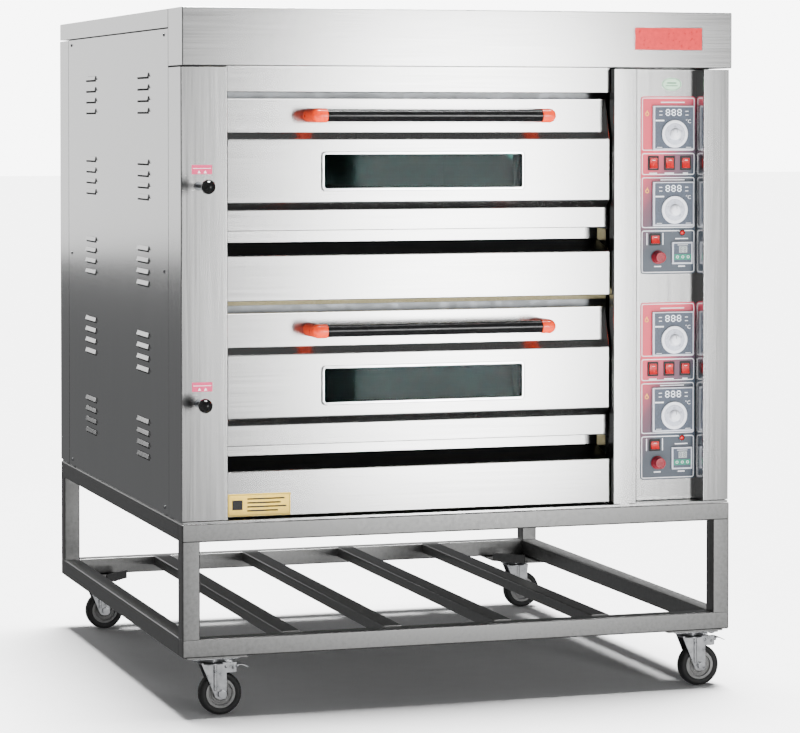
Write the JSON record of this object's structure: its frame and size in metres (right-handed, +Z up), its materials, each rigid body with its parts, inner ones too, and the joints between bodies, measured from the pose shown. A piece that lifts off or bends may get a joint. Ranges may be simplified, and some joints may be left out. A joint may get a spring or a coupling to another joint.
{
  "type": "deck oven",
  "caption": "Bakery deck oven with stacked chambers, drop-down glazed doors, vent pull rods, control panel and open castor stand.",
  "frame": {"origin": "middle of the bounding box's underside, on the floor", "axes": "+X to the right seen from the front, +Y from front to back, +Z up"},
  "size_m": [1.228, 1.353, 1.464],
  "materials": {
    "black_metal": "gloss",
    "black_plastic": "gloss",
    "bright_trim": "gloss",
    "galvanised": "matte",
    "glass": "gloss",
    "grey_plastic": "matte",
    "hearth_steel": "matte",
    "mineral_wool": "matte",
    "printed_plate": "gloss",
    "red_plastic": "gloss",
    "silver_dial": "satin",
    "stainless": "satin",
    "stand_steel": "satin",
    "wheel": "matte",
    "zinc": "satin"
  },
  "bodies": {
    "oven": {"base_pan": "stainless", "bulkheads": "galvanised", "castor_mounts": "stand_steel", "chamber_fittings": "zinc", "chamber_liners": "galvanised", "control_fascia": "stainless", "control_plates": "printed_plate", "front_columns": "stainless", "front_fascias": "stainless", "hearth_plates": "hearth_steel", "heating_elements": "zinc", "hood": "stainless", "insulation": "mineral_wool", "mains_gland": "black_plastic", "mouth_frames": "galvanised", "panel_instruments": "grey_plastic", "panel_screws": "zinc", "rear_casing": "stainless", "rocker_cases": "black_plastic", "shelf_slats": "stand_steel", "side_panels": "stainless", "signal_lamps_buzzers": "red_plastic", "stand_frame": "stand_steel", "switchgear": "black_plastic", "top_cover": "stainless", "vent_ducts": "galvanised"},
    "door_1": {"door_skin_1": "stainless", "door_liner_1": "galvanised", "window_frame_1": "bright_trim", "window_glass_1": "glass", "door_handle_1": "black_metal"},
    "vent_1": {"vent_rod_1": "black_plastic"},
    "dial_top_1": {"dial_top_1": "silver_dial"},
    "dial_low_1": {"dial_low_1": "silver_dial"},
    "rocker_0_1": {"rocker_0_1": "red_plastic"},
    "rocker_1_1": {"rocker_1_1": "red_plastic"},
    "rocker_2_1": {"rocker_2_1": "red_plastic"},
    "power_rocker_1": {"power_rocker_1": "red_plastic"},
    "door_2": {"door_skin_2": "stainless", "door_liner_2": "galvanised", "window_frame_2": "bright_trim", "window_glass_2": "glass", "door_handle_2": "black_metal"},
    "vent_2": {"vent_rod_2": "black_plastic"},
    "dial_top_2": {"dial_top_2": "silver_dial"},
    "dial_low_2": {"dial_low_2": "silver_dial"},
    "rocker_0_2": {"rocker_0_2": "red_plastic"},
    "rocker_1_2": {"rocker_1_2": "red_plastic"},
    "rocker_2_2": {"rocker_2_2": "red_plastic"},
    "power_rocker_2": {"power_rocker_2": "red_plastic"},
    "castor_fork_fl": {"castor_fork_fl": "zinc"},
    "castor_wheel_fl": {"castor_wheel_fl": "wheel"},
    "brake_pedal_fl": {"brake_pedal_fl": "zinc"},
    "castor_fork_fr": {"castor_fork_fr": "zinc"},
    "castor_wheel_fr": {"castor_wheel_fr": "wheel"},
    "brake_pedal_fr": {"brake_pedal_fr": "zinc"},
    "castor_fork_rl": {"castor_fork_rl": "zinc"},
    "castor_wheel_rl": {"castor_wheel_rl": "wheel"},
    "castor_fork_rr": {"castor_fork_rr": "zinc"},
    "castor_wheel_rr": {"castor_wheel_rr": "wheel"}
  },
  "joints": [
    {"name": "door_1_hinge", "type": "hinge", "parent": "oven", "child": "door_1", "pos_m": [-0.0845, -0.5195, 1.012], "axis": [1, 0, 0], "range_deg": [0, 90]},
    {"name": "vent_1_slide", "type": "slide", "parent": "oven", "child": "vent_1", "axis": [0, -1, 0], "range_m": [-0.05, 0.01]},
    {"name": "dial_top_1_turn", "type": "hinge", "parent": "oven", "child": "dial_top_1", "pos_m": [0.4962, -0.5379, 1.2024], "axis": [0, 1, 0], "range_deg": [0, 270]},
    {"name": "dial_low_1_turn", "type": "hinge", "parent": "oven", "child": "dial_low_1", "pos_m": [0.4962, -0.5379, 1.0379], "axis": [0, 1, 0], "range_deg": [0, 270]},
    {"name": "rocker_0_1_tilt", "type": "hinge", "parent": "oven", "child": "rocker_0_1", "pos_m": [0.4498, -0.5379, 1.1393], "axis": [1, 0, 0], "range_deg": [0, 14]},
    {"name": "rocker_1_1_tilt", "type": "hinge", "parent": "oven", "child": "rocker_1_1", "pos_m": [0.4876, -0.5379, 1.1393], "axis": [1, 0, 0], "range_deg": [0, 14]},
    {"name": "rocker_2_1_tilt", "type": "hinge", "parent": "oven", "child": "rocker_2_1", "pos_m": [0.5254, -0.5379, 1.1393], "axis": [1, 0, 0], "range_deg": [0, 14]},
    {"name": "power_rocker_1_tilt", "type": "hinge", "parent": "oven", "child": "power_rocker_1", "pos_m": [0.4543, -0.5379, 0.9739], "axis": [1, 0, 0], "range_deg": [0, 14]},
    {"name": "door_2_hinge", "type": "hinge", "parent": "oven", "child": "door_2", "pos_m": [-0.0845, -0.5195, 0.5655], "axis": [1, 0, 0], "range_deg": [0, 90]},
    {"name": "vent_2_slide", "type": "slide", "parent": "oven", "child": "vent_2", "axis": [0, -1, 0], "range_m": [-0.0226, 0.0374]},
    {"name": "dial_top_2_turn", "type": "hinge", "parent": "oven", "child": "dial_top_2", "pos_m": [0.4962, -0.5379, 0.7559], "axis": [0, 1, 0], "range_deg": [0, 270]},
    {"name": "dial_low_2_turn", "type": "hinge", "parent": "oven", "child": "dial_low_2", "pos_m": [0.4962, -0.5379, 0.5914], "axis": [0, 1, 0], "range_deg": [0, 270]},
    {"name": "rocker_0_2_tilt", "type": "hinge", "parent": "oven", "child": "rocker_0_2", "pos_m": [0.4498, -0.5379, 0.6928], "axis": [1, 0, 0], "range_deg": [0, 14]},
    {"name": "rocker_1_2_tilt", "type": "hinge", "parent": "oven", "child": "rocker_1_2", "pos_m": [0.4876, -0.5379, 0.6928], "axis": [1, 0, 0], "range_deg": [0, 14]},
    {"name": "rocker_2_2_tilt", "type": "hinge", "parent": "oven", "child": "rocker_2_2", "pos_m": [0.5254, -0.5379, 0.6928], "axis": [1, 0, 0], "range_deg": [0, 14]},
    {"name": "power_rocker_2_tilt", "type": "hinge", "parent": "oven", "child": "power_rocker_2", "pos_m": [0.4543, -0.5379, 0.5274], "axis": [1, 0, 0], "range_deg": [0, 14]},
    {"name": "castor_fl_swivel", "type": "hinge", "parent": "oven", "child": "castor_fork_fl", "pos_m": [-0.538, -0.5395, 0.11], "axis": [0, 0, 1], "continuous": true},
    {"name": "castor_fl_roll", "type": "hinge", "parent": "castor_fork_fl", "child": "castor_wheel_fl", "pos_m": [-0.52, -0.5395, 0.045], "axis": [0, 1, 0], "continuous": true},
    {"name": "brake_fl_press", "type": "hinge", "parent": "castor_fork_fl", "child": "brake_pedal_fl", "pos_m": [-0.496, -0.5395, 0.0985], "axis": [0, 1, 0], "range_deg": [0, 15]},
    {"name": "castor_fr_swivel", "type": "hinge", "parent": "oven", "child": "castor_fork_fr", "pos_m": [0.538, -0.5395, 0.11], "axis": [0, 0, 1], "continuous": true},
    {"name": "castor_fr_roll", "type": "hinge", "parent": "castor_fork_fr", "child": "castor_wheel_fr", "pos_m": [0.556, -0.5395, 0.045], "axis": [0, 1, 0], "continuous": true},
    {"name": "brake_fr_press", "type": "hinge", "parent": "castor_fork_fr", "child": "brake_pedal_fr", "pos_m": [0.58, -0.5395, 0.0985], "axis": [0, 1, 0], "range_deg": [0, 15]},
    {"name": "castor_rl_swivel", "type": "hinge", "parent": "oven", "child": "castor_fork_rl", "pos_m": [-0.538, 0.5845, 0.11], "axis": [0, 0, 1], "continuous": true},
    {"name": "castor_rl_roll", "type": "hinge", "parent": "castor_fork_rl", "child": "castor_wheel_rl", "pos_m": [-0.52, 0.5845, 0.045], "axis": [0, 1, 0], "continuous": true},
    {"name": "castor_rr_swivel", "type": "hinge", "parent": "oven", "child": "castor_fork_rr", "pos_m": [0.538, 0.5845, 0.11], "axis": [0, 0, 1], "continuous": true},
    {"name": "castor_rr_roll", "type": "hinge", "parent": "castor_fork_rr", "child": "castor_wheel_rr", "pos_m": [0.556, 0.5845, 0.045], "axis": [0, 1, 0], "continuous": true}
  ]
}
